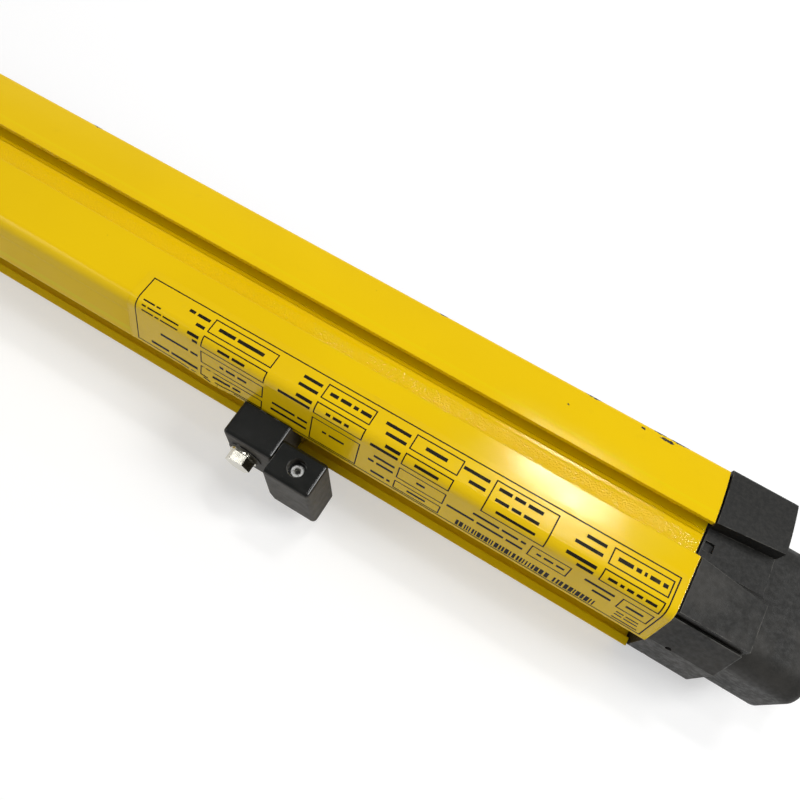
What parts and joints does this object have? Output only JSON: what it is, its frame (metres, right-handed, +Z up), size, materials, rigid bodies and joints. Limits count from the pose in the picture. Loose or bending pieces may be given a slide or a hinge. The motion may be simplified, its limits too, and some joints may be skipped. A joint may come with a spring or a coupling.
{
  "type": "safety light curtain",
  "caption": "Long painted bar with T-slots, moulded end caps, a front window over receiving optics, and a clamped side bracket with a swivelling foot.",
  "frame": {"origin": "on the flat side face that the bar rests on, under the middle beam and midway across that face", "axes": "+X along the bar towards its connector, +Y from the rear T-slot towards the front window, +Z up through the side faces"},
  "size_m": [0.9774, 0.0732, 0.0521],
  "materials": {
    "yellow_paint": "extruded, with a glossy signal yellow enamel and small chips",
    "front_pane": "deep red, nearly black, polished",
    "black_rubber": "matt",
    "grey_moulding": "fine grained dark grey",
    "zinc_steel": "zinc plated",
    "nickel_plate": "nickel plated, slightly stained",
    "black_plastic": "matt black",
    "gold_brass": "gold plated",
    "wire_cover": "coloured insulation",
    "circuit_board": "green solder mask",
    "ribbon_cover": "grey ribbon",
    "chip_case": "moulded black",
    "can_metal": "satin",
    "plug_plastic": "ivory",
    "display_face": "dark filter",
    "lamp_lens": "translucent",
    "label_film": "yellow film with black print",
    "black_enamel": "black enamel, worn along the edges",
    "diode_case": "dark filter",
    "lens_plastic": "clear"
  },
  "bodies": {
    "curtain": {"board_header_far": "plug_plastic", "board_header_middle": "plug_plastic", "board_header_near": "plug_plastic", "connector_cap_screws": "zinc_steel", "connector_end_cap": "grey_moulding", "connector_end_gasket": "black_rubber", "connector_housing": "grey_moulding", "connector_housing_screws": "zinc_steel", "connector_insert": "black_plastic", "connector_nut": "nickel_plate", "connector_pins": "gold_brass", "connector_seal": "black_rubber", "connector_shell": "nickel_plate", "connector_wires": "wire_cover", "control_board": "circuit_board", "display_board": "circuit_board", "display_holder": "black_plastic", "far_board": "circuit_board", "far_cap_screws": "zinc_steel", "far_end_cap": "grey_moulding", "far_end_gasket": "black_rubber", "front_window": "front_pane", "housing_profile": "yellow_paint", "lens_far": "lens_plastic", "lens_holder_far": "black_plastic", "lens_holder_middle": "black_plastic", "lens_holder_near": "black_plastic", "lens_middle": "lens_plastic", "lens_near": "lens_plastic", "middle_board": "circuit_board", "optics_chassis": "black_plastic", "photodiode_far": "diode_case", "photodiode_middle": "diode_case", "photodiode_near": "diode_case", "processor_chips": "chip_case", "receiver_board_far": "circuit_board", "receiver_board_middle": "circuit_board", "receiver_board_near": "circuit_board", "ribbon_cable_long": "ribbon_cover", "ribbon_cable_short": "ribbon_cover", "seven_segment_display": "display_face", "smoothing_capacitors": "can_metal", "status_lamps": "lamp_lens", "type_label": "label_film", "window_gaskets": "black_rubber", "wire_plug": "plug_plastic"},
    "bracket": {"clamp_block": "black_enamel", "slot_nut": "zinc_steel", "clamp_bolt": "nickel_plate", "clamp_washer": "nickel_plate"},
    "bracket_foot": {"swivel_foot": "black_enamel", "foot_clamp_screw": "zinc_steel"}
  },
  "joints": [
    {"name": "bracket_slide", "type": "slide", "parent": "curtain", "child": "bracket", "axis": [1, 0, 0], "range_m": [-0.75, 0.1]},
    {"name": "foot_swivel", "type": "hinge", "parent": "bracket", "child": "bracket_foot", "pos_m": [0.3293, -0.0264, 0.026], "axis": [1, 0, 0], "range_deg": [-2.5, 2.5]}
  ]
}
